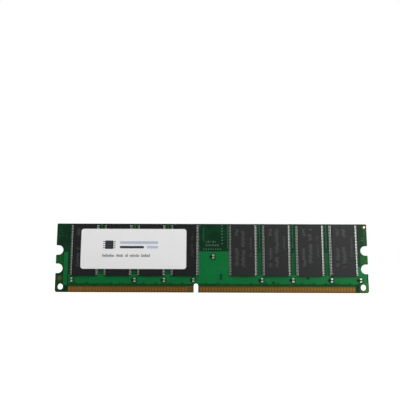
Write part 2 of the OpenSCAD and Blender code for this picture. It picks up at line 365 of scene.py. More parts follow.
class Finish:
    """A node material that is built up coat by coat. Places and scales are in millimetres."""

    def __init__(self, name, base, roughness, metallic=0.0, specular=0.5):
        self.material = bpy.data.materials.new(name)
        self.material.use_nodes = True
        self.tree = self.material.node_tree
        self.shader = self.tree.nodes["Principled BSDF"]
        self.base = tuple(base)
        self.shader.inputs["Base Color"].default_value = (*self.base, 1)
        self.shader.inputs["Roughness"].default_value = roughness
        self.shader.inputs["Metallic"].default_value = metallic
        self.shader.inputs["Specular IOR Level"].default_value = specular
        self.material.diffuse_color = (*self.base, 1)
        self.material.roughness = roughness
        self.material.metallic = metallic
        self.painted = None
        self.relief = None
        coordinates = self.tree.nodes.new("ShaderNodeTexCoord")
        self.place = self.scaled(coordinates.outputs["Object"], (1 / MM,) * 3)

    def feed(self, socket, value):
        """Links a socket to another node's output, or gives it a constant."""
        if isinstance(value, bpy.types.NodeSocket):
            self.tree.links.new(value, socket)
        else:
            socket.default_value = value

    def scaled(self, vector, factors):
        """A vector with each of its parts multiplied by a factor."""
        made = self.tree.nodes.new("ShaderNodeVectorMath")
        made.operation = "MULTIPLY"
        self.feed(made.inputs[0], vector)
        made.inputs[1].default_value = factors
        return made.outputs[0]

    def math(self, operation, a, b=0.0):
        """One Math node on two values."""
        made = self.tree.nodes.new("ShaderNodeMath")
        made.operation = operation
        self.feed(made.inputs[0], a)
        self.feed(made.inputs[1], b)
        return made.outputs[0]

    def above(self, value, limit):
        """1 where a value is over a limit, 0 elsewhere."""
        return self.math("GREATER_THAN", value, limit)

    def ramp(self, value, start, end, low=0.0, high=1.0):
        """Carries value from start..end to low..high, and holds it there beyond."""
        made = self.tree.nodes.new("ShaderNodeMapRange")
        for label, given in (
            ("Value", value),
            ("From Min", start),
            ("From Max", end),
            ("To Min", low),
            ("To Max", high),
        ):
            self.feed(made.inputs[label], given)
        return made.outputs[0]

    def noise(self, per_mm, detail=3.0, stretch=(1, 1, 1)):
        """Cloudy noise round 0.5; a stretch below 1 draws it out along that axis."""
        made = self.tree.nodes.new("ShaderNodeTexNoise")
        self.feed(made.inputs["Vector"], self.scaled(self.place, stretch))
        made.inputs["Scale"].default_value = per_mm
        made.inputs["Detail"].default_value = detail
        return made.outputs[0]

    def stripes(self, direction, pitch):
        """A smooth wave from 0 to 1 along X, Y or Z."""
        made = self.tree.nodes.new("ShaderNodeTexWave")
        made.bands_direction = direction
        made.wave_profile = "SIN"
        self.feed(made.inputs["Vector"], self.place)
        made.inputs["Scale"].default_value = math.pi / (10 * pitch)
        return made.outputs["Fac"]

    def coordinate(self, direction):
        """Where the surface is along X, Y or Z."""
        split = self.tree.nodes.new("ShaderNodeSeparateXYZ")
        self.feed(split.inputs[0], self.place)
        return split.outputs[direction]

    def scatter(self, direction, pitch, seed):
        """One random value from 0 to 1 for each step along an axis."""
        step = self.math("FLOOR", self.math("DIVIDE", self.coordinate(direction), pitch))
        made = self.tree.nodes.new("ShaderNodeTexWhiteNoise")
        made.noise_dimensions = "2D"
        joined = self.tree.nodes.new("ShaderNodeCombineXYZ")
        self.feed(joined.inputs["X"], step)
        joined.inputs["Y"].default_value = seed
        self.feed(made.inputs["Vector"], joined.outputs[0])
        return made.outputs["Value"]

    def box(self, left, right, low, high, soft=0.1):
        """1 inside a box of the board's X and Z, 0 outside."""
        made = self.tree.nodes.new("ShaderNodeGroup")
        made.node_tree = box_mask_group()
        self.feed(made.inputs["Place"], self.place)
        for label, value in (
            ("Left", left), ("Right", right), ("Low", low), ("High", high), ("Soft", soft)
        ):
            made.inputs[label].default_value = value
        return made.outputs["Mask"]

    def any_of(self, masks):
        """The largest of several masks."""
        result = masks[0]
        for mask in masks[1:]:
            result = self.math("MAXIMUM", result, mask)
        return result

    def all_of(self, *masks):
        """The product of several masks."""
        result = masks[0]
        for mask in masks[1:]:
            result = self.math("MULTIPLY", result, mask)
        return result

    def coat(self, mask, paint, strength=1.0):
        """Lays a colour over what is there, where the mask is 1, at full or part strength."""
        if strength < 1:
            mask = self.math("MULTIPLY", mask, strength)
        made = self.tree.nodes.new("ShaderNodeMix")
        made.data_type = "RGBA"
        self.feed(made.inputs["Factor"], mask)
        self.feed(made.inputs[MIX_UNDER], self.painted or (*self.base, 1))
        made.inputs[MIX_OVER].default_value = (*paint, 1)
        self.painted = made.outputs[MIX_RESULT]

    def shade(self, mask, factor):
        """Darkens or lightens what is there by a factor, where the mask is 1."""
        made = self.tree.nodes.new("ShaderNodeVectorMath")
        made.operation = "SCALE"
        self.feed(made.inputs[0], self.painted or self.base)
        self.feed(made.inputs["Scale"], self.ramp(mask, 0.0, 1.0, 1.0, factor))
        self.painted = made.outputs[0]

    def emboss(self, height, depth_mm, strength=1.0):
        """Raises the surface where height is 1, on top of the relief that is there."""
        made = self.tree.nodes.new("ShaderNodeBump")
        made.inputs["Distance"].default_value = depth_mm * MM
        made.inputs["Strength"].default_value = strength
        self.feed(made.inputs["Height"], height)
        if self.relief:
            self.feed(made.inputs["Normal"], self.relief)
        self.relief = made.outputs[0]

    def roughen(self, mask, low, high):
        """Carries the roughness from low, where the mask is 0, to high."""
        self.feed(self.shader.inputs["Roughness"], self.ramp(mask, 0.0, 1.0, low, high))

    def done(self):
        """Links the coats and the relief to the shader, and gives the material."""
        if self.painted:
            self.feed(self.shader.inputs["Base Color"], self.painted)
        if self.relief:
            self.feed(self.shader.inputs["Normal"], self.relief)
        return self.material


def finish_nodes(names, material):
    """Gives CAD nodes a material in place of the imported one."""
    for name in names:
        piece = NODES[name]
        if not piece.material_slots:
            piece.data.materials.append(material)
        for slot in piece.material_slots:
            slot.material = material


def laminate_finish(looks):
    """Woven glass in epoxy: strata on the cut edges, a faint weave on the flat."""
    finish = Finish("laminate", looks.laminate, 0.5, specular=0.15)
    strata = finish.stripes("Y", 0.11)
    fibres = finish.noise(6.0, 4.0, (1, 6, 1))
    finish.shade(strata, 1.35)
    finish.shade(fibres, 0.72)
    finish.coat(finish.ramp(finish.noise(1.1, 2.0), 0.55, 0.75, 0, 0.25), PALE_RESIN)
    finish.coat(finish.box(-BOARD_END, BOARD_END, -1, CONTACTS_HIGH.z - 0.1, 0.2), EDGE_STAIN, 0.8)
    finish.emboss(fibres, 0.015, 0.5)
    finish.emboss(strata, 0.01, 0.4)
    finish.roughen(fibres, 0.38, 0.62)
    return finish.done()


def inner_copper_finish(looks):
    """Etched copper sheet, sealed inside the board."""
    finish = Finish("inner_copper", looks.copper_alloy, 0.4, metallic=1.0)
    etched = finish.noise(3.0, 4.0)
    finish.shade(etched, 0.7)
    finish.emboss(etched, 0.004)
    finish.roughen(etched, 0.3, 0.55)
    return finish.done()


def pour_boxes(side):
    """Where copper lies under the mask, as (left, right, low, high)."""
    end = BOARD_END
    under_chips = CHIP_LOW.z
    boxes = [
        (-end + 5.6, SPARE_LEFT - 0.4, 3.6, under_chips + 0.6),
        (SPARE_LEFT - 0.4, SPARE_RIGHT + 0.7, 3.6, CHIP_MID_Z - 0.6),
        (SPARE_RIGHT, CHIP_XS[7] + LEAD_TIP + 0.2, 3.6, under_chips + 0.4),
        (-end + 3.4, -end + 5.2, 2.9, CHIP_MID_Z - 1.0),
        (end - 5.6, end - 2.9, 4.2, 11.0),
        (end - 3.0, end - 0.6, 4.2, 11.6),
    ]
    if side > 0:
        boxes = [(-right, -left, low, high) for left, right, low, high in boxes]
    return boxes


def start_mask(name, base):
    """A finish with the shine that all the solder mask has."""
    return Finish(name, base, 0.36, specular=0.11)


def mask_grain(finish):
    """The fine grain of cured solder mask."""
    finish.emboss(finish.noise(9.0, 2.0), 0.004, 0.5)


def mask_shine(finish):
    """The uneven shine of solder mask."""
    finish.roughen(finish.noise(0.8, 4.0), 0.28, 0.46)


def tint_board_ends(finish, looks):
    """Olive over the bare ends, greener on the tongues between notches and by the right-hand hole."""
    end = BOARD_END
    bare_left = finish.box(-end - 1, -end + 3.0, -1, 7.2, 0.8)
    bare_right = finish.box(end - 1.8, end + 1, 2, BOARD_TOP + 1, 0.5)
    finish.coat(finish.any_of([bare_left, bare_right]), looks.mask_olive)
    tongues = [finish.box(near - 3.1, near + 3.1, 11.9, 15.9, 0.6) for near in (-end, end)]
    finish.coat(finish.any_of(tongues), TONGUE_GREEN)
    finish.coat(finish.box(end - 3.8, end + 1, -1, 4.4, 0.8), CORNER_GREEN)


def tint_pours(finish, name, side, looks):
    """Bright over the copper pours and dark beside the small capacitors. Gives the pours' mask."""
    pour = finish.any_of([finish.box(*place, soft=0.12) for place in pour_boxes(side)])
    finish.coat(pour, looks.mask_pour)
    clear = [finish.box(x - 0.9, x + 1.1, z - 1.5, z + 1.3, 0.7) for x, z in capacitor_places(name)]
    finish.coat(finish.any_of(clear), looks.mask_bare, 0.6)
    return pour


def tint_gaps(finish, side, looks):
    """A copper strip and a thin line in each gap, shade under the leads, and the spare site's line."""
    strips = [finish.box(x - 0.7, x + 0.7, CHIP_LOW.z - 1, CHIP_MID_Z - 1.0, 0.4) for x in NARROW_GAPS]
    finish.coat(finish.any_of(strips), looks.mask_pour, 0.45)
    lines = [finish.box(x - 0.2, x + 0.2, CHIP_MID_Z + 0.8, CHIP_HIGH.z, 0.2) for x in NARROW_GAPS]
    finish.coat(finish.any_of(lines), GAP_LINE_GREEN, 0.8)
    rows = [x + way * (LEAD_TIP - 0.35) for x in CHIP_XS for way in (-1, 1)]
    shade = [finish.box(x - 0.5, x + 0.5, CHIP_LOW.z + 0.2, CHIP_HIGH.z - 0.2, 0.15) for x in rows]
    finish.coat(finish.any_of(shade), LEAD_SHADOW)
    line = -side * (SPARE_RIGHT - 0.3)
    finish.coat(
        finish.box(line - 0.15, line + 0.15, CHIP_MID_Z + 0.6, CHIP_HIGH.z, 0.12), SPARE_LINE_GREEN
    )


def fine_tracks(finish):
    """Mask of patches of thin parallel tracks, some upright and some level."""
    pitch, between_tracks = 0.36, 0.72
    upright = finish.above(finish.stripes("X", pitch), between_tracks)
    level = finish.above(finish.stripes("Z", pitch), between_tracks)
    here = finish.above(finish.noise(0.22, 1.0), 0.56)
    there = finish.above(finish.noise(0.2, 1.0, (1, 1, 1.6)), 0.58)
    tracks = finish.any_of([finish.all_of(upright, here), finish.all_of(level, there)])
    return finish.math("MULTIPLY", tracks, 0.30)


def solder_mask_finish(name, looks):
    """Green solder mask: darker on bare laminate, brighter over copper, with tracks showing through and
    painted light that grows along the board.
    """
    side = SIDES[name]
    finish = start_mask(f"solder_mask_{name}", looks.mask_bare)
    tint_board_ends(finish, looks)
    pour = tint_pours(finish, name, side, looks)
    tint_gaps(finish, side, looks)
    tracks = fine_tracks(finish)
    finish.coat(tracks, FINE_TRACK_GREEN)
    # Painted light: the mask grows up to 1.28 times lighter along the board, towards +X on the labelled
    # face and towards -X on the rear.
    finish.shade(finish.ramp(finish.coordinate("X"), side * BOARD_END, -side * BOARD_END), 1.28)
    weave = finish.all_of(finish.stripes("X", 0.55), finish.stripes("Z", 0.48))
    finish.shade(weave, 0.86)
    finish.shade(finish.noise(0.16, 2.0), 0.70)
    finish.emboss(pour, 0.03)
    finish.emboss(tracks, 0.02)
    finish.emboss(weave, 0.012, 0.6)
    mask_grain(finish)
    mask_shine(finish)
    return finish.done()


def clearance_finish(looks):
    """Solder mask over the copper-free ring round a via."""
    finish = start_mask("mask_on_clearance", looks.mask_bare)
    finish.shade(finish.noise(3.0, 3.0), 0.5)
    mask_grain(finish)
    return finish.done()


def covered_copper_finish(looks):
    """Solder mask where it runs over raised copper."""
    finish = start_mask("mask_on_copper", looks.copper_covered)
    finish.shade(finish.noise(1.5, 3.0), 0.7)
    mask_grain(finish)
    mask_shine(finish)
    return finish.done()


def gold_finish(looks):
    """Hard gold plating: fine upright wipe marks, a worn band where a socket touches, a painted red
    reflection and painted shade along the board.
    """
    finish = Finish("gold_contact", looks.gold, 0.33, metallic=1.0)
    wipe = finish.noise(9.0, 4.0, (1, 1, 0.07))
    finish.shade(wipe, 0.72)
    stain = finish.noise(0.35, 3.0, (1, 1, 0.5))
    finish.coat(finish.ramp(stain, 0.5, 0.8, 0.0, 0.35), GOLD_STAIN)
    top = CONTACTS_HIGH.z
    end = BOARD_END
    # Painted reflection: a reddish patch on the gold towards the left-hand end, as if something red were
    # mirrored in it.
    finish.coat(finish.box(-end + 28, -end + 52, -1, top, 26), PAINTED_RED_REFLECTION, 0.55)
    # Painted shade: the gold darkens along the board, down to 0.61 of its colour at the +X end.
    finish.shade(finish.ramp(finish.coordinate("X"), -end, end), 0.61)
    finish.coat(finish.box(-end, end, top - 0.55, top + 1, 0.55), DULL_GOLD, 0.7)
    finish.coat(finish.box(-end, end, top - 0.25, top + 1, 0.2), GOLD_BY_MASK, 0.9)
    finish.shade(finish.all_of(finish.box(-end, end, 1.1, 2.0, 0.4), wipe), 1.25)
    finish.emboss(wipe, 0.004)
    finish.roughen(wipe, 0.36, 0.56)
    return finish.done()


def fiducial_finish():
    """Bare targets: the low one of each face is tarnished, the high one still bright."""
    finish = Finish("fiducial_metal", BARE_TARGET, 0.4, metallic=1.0)
    finish.coat(finish.box(-BOARD_END, BOARD_END, 0, BOARD_TOP / 2, 0.5), TARNISH)
    finish.shade(finish.noise(3.0, 3.0), 0.7)
    finish.roughen(finish.noise(2.0, 3.0), 0.35, 0.6)
    return finish.done()


def laser_strokes(finish, x, half_width, low, high, seeds):
    """Mask of a column of strokes of uneven width and place, with a few rows left out."""
    width_seed, shift_seed, row_seed = seeds
    most_shift, left_out = 0.4, 0.13
    column = finish.box(x - half_width, x + half_width, low, high, 0.12)
    widths = finish.scatter("Z", STROKE_PITCH, width_seed)
    reach = finish.ramp(widths, 0, 1, 0.5 * half_width, half_width)
    shifts = finish.scatter("Z", STROKE_PITCH, shift_seed)
    middle_x = finish.math("ADD", finish.ramp(shifts, 0, 1, -most_shift, most_shift), x)
    away = finish.math("SUBTRACT", finish.coordinate("X"), middle_x)
    stroke = finish.math("LESS_THAN", finish.math("ABSOLUTE", away), reach)
    thin = finish.above(finish.stripes("Z", STROKE_PITCH), 0.45)
    kept = finish.above(finish.scatter("Z", 3 * STROKE_PITCH, row_seed), left_out)
    return finish.all_of(column, stroke, thin, kept)


def epoxy_finish(name, centre_x, looks, seed, marks, gloss):
    """Moulded epoxy with filler grain and faint laser marks."""
    finish = Finish(name, looks.epoxy, 0.5, specular=gloss)
    columns = []
    for offset, half_width, low, high, strength in marks:
        seeds = (seed + offset, seed + 3 * offset, seed - offset)
        strokes = laser_strokes(finish, centre_x + offset, half_width, low, high, seeds)
        columns.append(finish.math("MULTIPLY", strokes, strength))
    finish.coat(finish.any_of(columns), looks.laser)
    grain = finish.noise(11.0, 5.0)
    finish.coat(finish.ramp(grain, 0.62, 0.72, 0.0, 0.35), EPOXY_FILLER)
    finish.shade(finish.noise(0.3 + 0.01 * seed, 2.0), 0.82)
    finish.emboss(grain, 0.012, 0.55)
    finish.emboss(finish.noise(1.2, 2.0), 0.01, 0.4)
    finish.roughen(grain, 0.40, 0.62)
    return finish.done()


def metal_finish(name, base, low, high, darker_foot=1.0):
    """Matt plated or reflowed metal with fine mottling, darker by a factor down at the board."""
    finish = Finish(name, base, (low + high) / 2, metallic=1.0)
    height = finish.math("ABSOLUTE", finish.coordinate("Y"))
    # The metal is darker towards the board, by the given factor.
    finish.shade(finish.ramp(height, FACE_Y + 0.45, FACE_Y + 0.2), darker_foot)
    mottle = finish.noise(4.5, 4.0)
    finish.shade(mottle, 0.72)
    finish.emboss(finish.noise(14.0, 3.0), 0.003, 0.6)
    finish.roughen(mottle, low, high)
    return finish.done()


def ceramic_finish(looks):
    """Fired ceramic: tan with darker layers and a sandy grain."""
    finish = Finish("ceramic", looks.ceramic, 0.55, specular=0.4)
    finish.shade(finish.stripes("Y", 0.09), 0.82)
    sand = finish.noise(9.0, 4.0)
    finish.shade(sand, 0.7)
    finish.emboss(sand, 0.006)
    finish.roughen(sand, 0.45, 0.7)
    return finish.done()


def glaze_finish(looks):
    """Black overglaze on the resistor arrays."""
    finish = Finish("resistor_glass", looks.glass, 0.25, specular=0.5)
    orange_peel = finish.noise(5.0, 2.0)
    finish.shade(orange_peel, 1.6)
    finish.emboss(orange_peel, 0.008)
    finish.roughen(orange_peel, 0.18, 0.36)
    return finish.done()


def silicon_finish(looks):
    """Polished silicon with a fine block pattern."""
    finish = Finish("silicon", looks.silicon, 0.25, specular=0.6)
    blocks = finish.all_of(finish.stripes("X", 0.4), finish.stripes("Z", 0.25))
    finish.shade(blocks, 1.8)
    finish.roughen(finish.noise(2.0), 0.15, 0.35)
    return finish.done()


def paper_finish(looks):
    """Coated label stock: faint fibres, a soft satin face."""
    finish = Finish("label_paper", looks.paper, 0.55, specular=0.25)
    fibres = finish.noise(7.0, 5.0, (1, 1, 0.35))
    finish.shade(fibres, 0.965)
    finish.shade(finish.noise(0.12, 2.0), 0.975)
    finish.emboss(fibres, 0.006, 0.5)
    finish.emboss(finish.noise(0.4, 2.0), 0.02, 0.4)
    finish.roughen(fibres, 0.48, 0.64)
    return finish.done()


def ink_finish(name, base, roughness):
    """Printed ink, a little uneven where it meets the fibres."""
    finish = Finish(name, base, roughness, specular=0.3)
    uneven = finish.noise(6.0, 4.0)
    finish.shade(uneven, 0.8)
    finish.emboss(uneven, 0.003)
    finish.roughen(uneven, roughness - 0.1, roughness + 0.1)
    return finish.done()


# ---- Meshes ----


def at(side, x, z, rise):
    """A point on a face of the board, in metres; rise is how far it stands off the face."""
    return Vector((x, side * (FACE_Y + rise), z)) * MM


def make_piece(name, mesh, material):
    """Turns a bmesh into a named piece that rides with the module."""
    bmesh.ops.recalc_face_normals(mesh, faces=mesh.faces)
    data = bpy.data.meshes.new(name)
    mesh.to_mesh(data)
    mesh.free()
    data.materials.append(material)
    piece = bpy.data.objects.new(name, data)
    bpy.context.scene.collection.objects.link(piece)
    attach(piece, "root")
    return piece


def loft(mesh, rings):
    """Skins closed rings of points, one after another, and caps both ends."""
    corners = [[mesh.verts.new(point) for point in ring] for ring in rings]
    count = len(corners[0])
    for lower, upper in zip(corners, corners[1:]):
        for i in range(count):
            after = (i + 1) % count
            mesh.faces.new((lower[i], lower[after], upper[after], upper[i]))
    mesh.faces.new(corners[0][::-1])
    mesh.faces.new(corners[-1])


def octagon(half_w, half_h):
    """Outline of a rectangle with its corners cut."""
    cut = 0.35 * min(half_w, half_h)
    return [
        (half_w, cut - half_h), (half_w, half_h - cut), (half_w - cut, half_h), (cut - half_w, half_h),
        (-half_w, half_h - cut), (-half_w, cut - half_h), (cut - half_w, -half_h), (half_w - cut, -half_h),
    ]


# A fillet of solder climbs slowly at first: share of the way in, and share of the height there.
FILLET = ((0.0, 0.0), (0.40, 0.22), (0.75, 0.60), (1.0, 1.0))


def solder_mound(mesh, side, place, base, top, height, lean=(0.0, 0.0)):
    """A concave fillet of solder from a pad up to a lead or an end cap."""
    rings = []
    for share, rise in FILLET:
        half_w = (base[0] + (top[0] - base[0]) * share) / 2
        half_h = (base[1] + (top[1] - base[1]) * share) / 2
        x = place[0] + lean[0] * share
        z = place[1] + lean[1] * share
        rings.append([at(side, x + u, z + v, rise * height) for u, v in octagon(half_w, half_h)])
    loft(mesh, rings)


def lead_joints(mesh, side, centre, tip, count, chance):
    """Solder at both rows of gull-wing feet of one package."""
    top = (LEAD_FOOT - 0.04, 0.25)
    for row in (-1, 1):
        x = centre.x + row * (tip - LEAD_FOOT / 2 + 0.06)
        for i in range(count):
            z = centre.z + (i - (count - 1) / 2) * LEAD_PITCH
            size = chance.uniform(0.93, 1.05)
            pad = (0.90 * size, 0.34 * size)
            solder_mound(mesh, side, (x, z), pad, top, 0.118, (-row * 0.06, 0))


def end_joints(mesh, side, x, z, reach, pad, top, height):
    """Solder against both ends of a small part, at a reach from its middle."""
    for end in (-1, 1):
        solder_mound(mesh, side, (x, z + end * reach), pad, top, height, (0, -end * 0.10))


def ribbon(mesh, side, points, width, rise):
    """A raised copper track along a line of points, with mitred corners."""
    line = [Vector(point) for point in points]
    rings = []
    for i, here in enumerate(line):
        before = (here - line[i - 1]).normalized() if i else (line[1] - here).normalized()
        after = (line[i + 1] - here).normalized() if i + 1 < len(line) else before
        across = Vector((-(before.y + after.y), before.x + after.x)).normalized()
        reach = width / 2 / max(0.5, across.dot(Vector((-before.y, before.x))))
        rings.append(
            [
                at(side, *(here + across * reach), 0.0),
                at(side, *(here + across * reach * 0.7), rise),
                at(side, *(here - across * reach * 0.7), rise),
                at(side, *(here - across * reach), 0.0),
            ]
        )
    loft(mesh, rings)


def ring_points(side, x, z, radius, rise, count=12):
    """Points round a circle on a face of the board."""
    turns = [2 * math.pi * i / count for i in range(count)]
    return [at(side, x + radius * math.cos(t), z + radius * math.sin(t), rise) for t in turns]


def via_ring(mesh, side, x, z, radius):
    """The raised ring round a plated hole."""
    inner = radius * 0.5
    rings = [
        ring_points(side, x, z, radius, 0.0),
        ring_points(side, x, z, radius * 0.9, 0.016),
        ring_points(side, x, z, inner * 1.15, 0.018),
        ring_points(side, x, z, inner, 0.0),
    ]
    corners = [[mesh.verts.new(point) for point in ring] for ring in rings]
    count = len(corners[0])
    for lower, upper in zip(corners, corners[1:] + corners[:1]):
        for i in range(count):
            after = (i + 1) % count
            mesh.faces.new((lower[i], lower[after], upper[after], upper[i]))


def disc(mesh, side, x, z, radius, rise):
    """A thin round patch on a face of the board."""
    loft(mesh, [ring_points(side, x, z, radius, 0.0), ring_points(side, x, z, radius * 0.96, rise)])


def bar(mesh, side, x, z, width, height, rise=PRINT_RISE):
    """A flat printed bar with cut corners."""
    outline = octagon(width / 2, height / 2)
    loft(mesh, [[at(side, x + u, z + v, h) for u, v in outline] for h in (0.0, rise)])


def rounded_columns(left, right, radius, cell):
    """Places across a rounded rectangle, with extra ones where its corners turn."""
    across = max(2, round((right - left) / cell))
    even = [left + (right - left) * i / across for i in range(across + 1)]
    steps = 5
    turn = [left + radius * (1 - math.cos(math.pi / 2 * i / steps)) for i in range(1, steps + 1)]
    turn += [left + right - x for x in turn]
    return sorted(set(round(x, 4) for x in even + turn))


def curved_patch(mesh, left, right, low, high, radius, front, thick):
    """A rounded rectangle in a grid whose front follows front(x); it closes on itself."""
    xs = rounded_columns(left, right, radius, PATCH_CELL)
    up = max(2, round((high - low) / PATCH_CELL / 2))

    def column(x, depth):
        """The corners of one upright line, which is shorter where the outline turns."""
        edge = min(x - left, right - x)
        inset = radius - math.sqrt(max(0.0, radius**2 - (radius - edge) ** 2)) if edge < radius else 0.0
        tall = high - low - 2 * inset
        return [
            mesh.verts.new(Vector((x, front(x) + depth, low + inset + tall * j / up)) * MM)
            for j in range(up + 1)
        ]

    face, back = [[column(x, depth) for x in xs] for depth in (0.0, thick)]
    for layer in (face, back):
        for a, b in zip(layer, layer[1:]):
            for j in range(up):
                mesh.faces.new((a[j], b[j], b[j + 1], a[j + 1]))
    rims = [[c[0] for c in face], [c[up] for c in face], face[0], face[-1]]
    backs = [[c[0] for c in back], [c[up] for c in back], back[0], back[-1]]
    for rim, behind in zip(rims, backs):
        for i in range(len(rim) - 1):
            mesh.faces.new((rim[i], rim[i + 1], behind[i + 1], behind[i]))


# ---- Groups of pieces ----


def add_solder(looks):
    """Solder joints of both faces: packages, capacitors, and the rear's EEPROM and resistor arrays."""
    solder = metal_finish("solder", looks.solder, 0.22, 0.42)
    for name, side in SIDES.items():
        chance = random.Random(SOLDER_SEED + side)
        mesh = bmesh.new()
        for i in PACKAGES:
            lead_joints(mesh, side, middle(f"memory_case_{name}_{i}"), LEAD_TIP, LEADS_PER_SIDE, chance)
        make_piece(f"package_solder_{name}", mesh, solder)

        mesh = bmesh.new()
        for x, z in capacitor_places(name):
            end_joints(mesh, side, x, z, *CAPACITOR_JOINT)
        if side > 0:
            lead_joints(mesh, side, EEPROM, EEPROM_TIP, EEPROM_LEADS_PER_SIDE, chance)
            for x in ARRAY_XS:
                for foot in ARRAY_FEET:
                    end_joints(mesh, side, x + foot, ARRAY_Z, *ARRAY_JOINT)
        make_piece(f"small_part_solder_{name}", mesh, solder)


def capacitor_places(name):
    """Centres of the small capacitors of one face, read from the solids of their node."""
    data = NODES[f"capacitor_bodies_{name}"].data
    mesh = bmesh.new()
    mesh.from_mesh(data)
    bmesh.ops.remove_doubles(mesh, verts=mesh.verts, dist=1e-7)
    places, seen = [], set()
    for start in mesh.verts:
        if start in seen:
            continue
        island, queue = [], [start]
        seen.add(start)
        while queue:
            corner = queue.pop()
            island.append(corner.co / MM)
            for edge in corner.link_edges:
                other = edge.other_vert(corner)
                if other not in seen:
                    seen.add(other)
                    queue.append(other)
        xs, zs = [c.x for c in island], [c.z for c in island]
        places.append(((min(xs) + max(xs)) / 2, (min(zs) + max(zs)) / 2))
    mesh.free()
    return sorted(places)


def contact_tracks(parts, side, looks, chance):
    """A neck above each contact, and for most of them a track to a via. Gives the vias' places."""
    width, rise = looks.track_width / MM, looks.track_rise / MM
    neck, radius = looks.neck_width / MM, looks.via_radius / MM
    top = CONTACTS_HIGH.z
    bend = top + 0.35
    holes = []
    for i, x in enumerate(CONTACT_XS):
        kind = (i * 5 + chance.choice((0, 0, 1))) % 4
        ribbon(parts["tracks"], side, [(x, top), (x, NECK_TOP)], neck, rise)
        if kind == len(VIA_STEPS):
            ribbon(parts["tracks"], side, [(x, NECK_TOP), (x, NECK_TOP + 0.6)], neck, rise)
            continue
        high, step = VIA_STEPS[kind]
        straight = [(x, top), (x, high)]
        jogged = [(x, top), (x, bend), (x + step, bend + abs(step)), (x + step, high)]
        ribbon(parts["tracks"], side, jogged if step else straight, width, rise)
        disc(parts["clearances"], side, x + step, high, 1.5 * radius, CLEARANCE_RISE)
        holes.append((x + step, high))
    return holes


def gap_vias(chance):
    """Places of the vias in the gaps between packages."""
    holes = []
    for gap in NARROW_GAPS:
        for k in range(9):
            z = CHIP_LOW.z + 1.2 + k * 2.45
            holes.append((gap + chance.choice((-0.45, 0.0, 0.45)), z + chance.uniform(-0.5, 0.5)))
    return holes


def front_vias(parts, side, looks):
    """Clearances of the labelled face's lone vias, and its dark filled ones beside capacitors."""
    radius = looks.via_radius / MM
    aside, down = FILLED_VIA_OFFSET
    for x, z in LONE_VIAS:
        disc(parts["clearances"], side, x, z, 2.1 * radius, CLEARANCE_RISE)
    for x, z in capacitor_places("front")[1:]:
        disc(parts["clearances"], side, x + aside, z + down, 2.2 * radius, CLEARANCE_RISE)
        disc(parts["bores"], side, x + aside, z + down, 1.6 * radius, FILLED_VIA_RISE)


def array_tracks(parts, side, looks):
    """Tracks of the rear face, from each resistor up to its package and down to a near contact."""
    width, rise = looks.track_width / MM, looks.track_rise / MM
    above, below = ARRAY_Z + 0.7, ARRAY_Z - 0.7
    jog_low, jog_high = ARRAY_Z + 1.0, ARRAY_Z + 1.35
    under_package = CHIP_LOW.z + 0.3
    for x in ARRAY_XS:
        for offset in ARRAY_FEET:
            foot = x + offset
            beside = foot + 0.25
            upward = [(foot, above), (foot, jog_low), (beside, jog_high), (beside, under_package)]
            ribbon(parts["tracks"], side, upward, width, rise)
            near = min(CONTACT_XS, key=lambda place, foot=foot: abs(place - foot))
            if abs(near - foot) < 0.3:
                ribbon(parts["tracks"], side, [(near, 3.6), (foot, below)], width, rise)


def add_tracks(looks):
    """Tracks that leave the contacts, their vias, and the vias beside the packages."""
    covered = covered_copper_finish(looks)
    finishes = {
        "tracks": ("board_tracks", covered),
        "rings": ("via_rings", covered),
        "bores": ("via_bores", ink_finish("via_bore", VIA_DARK, 0.6)),
        "clearances": ("via_clearances", clearance_finish(looks)),
    }
    radius = looks.via_radius / MM
    for name, side in SIDES.items():
        chance = random.Random(looks.seed + side)
        parts = {part: bmesh.new() for part in finishes}
        holes = contact_tracks(parts, side, looks, chance) + gap_vias(chance)
        if side < 0:
            front_vias(parts, side, looks)
            holes += LONE_VIAS
            add_spare_pads()
        else:
            array_tracks(parts, side, looks)
        for x, z in holes:
            via_ring(parts["rings"], side, x, z, radius)
            disc(parts["bores"], side, x, z, radius * 0.5, BORE_RISE)
        for part, (piece, finish) in finishes.items():
            make_piece(f"{piece}_{name}", parts[part], finish)


def add_spare_pads():
    """Pads of the site that carries no package, beside the fifth one."""
    side = SIDES["front"]
    covered, bare = bmesh.new(), bmesh.new()
    for k in range(9):
        bar(covered, side, SPARE_LEFT + 1.8, 21.9 + k * LEAD_PITCH, 0.7, 0.34, PAD_RISE)
    for k in range(7):
        bar(bare, side, SPARE_RIGHT - 2.6, 20.8 + k * 2 * LEAD_PITCH, 0.55, 0.5, PAD_RISE)
    green = ink_finish("pad_covered", COVERED_PAD, 0.5)
    tin = metal_finish("pad_tin", SPARE_TIN, 0.3, 0.5)
    make_piece("spare_pads_covered", covered, green)
    make_piece("spare_pads_bare", bare, tin)


def stub_corner(side, x, share, rise):
    """A point on the bevel of the edge; share is 1 at the contact and 0 at the bevel's foot."""
    y = side * (FACE_Y - 0.035 - 0.148 * (1 - share) + rise)
    return Vector((x, y, CONTACTS_LOW.z * share + 0.05 * (1 - share))) * MM


def add_contact_stubs():
    """What is left of the plating bars, from each contact down the bevel of the edge."""
    gold = bpy.data.materials["gold_contact"]
    half = 0.16
    outline = [(-half, 1.0), (half, 1.0), (half, 0.0), (-half, 0.0)]
    for name, side in SIDES.items():
        mesh = bmesh.new()
        for x in CONTACT_XS:
            rings = [[stub_corner(side, x + u, v, rise) for u, v in outline] for rise in (0.0, STUB_RISE)]
            loft(mesh, rings)
        make_piece(f"contact_stubs_{name}", mesh, gold)


def greeked_row(mesh, side, left, right, z, height, chance):
    """A row of short upright strokes, where printing would be."""
    x = left
    while x < right:
        width = chance.uniform(0.16, 0.34)
        bar(mesh, side, x + width / 2, z, width, height * chance.uniform(0.6, 1.0))
        x += width + chance.uniform(0.2, 0.5)


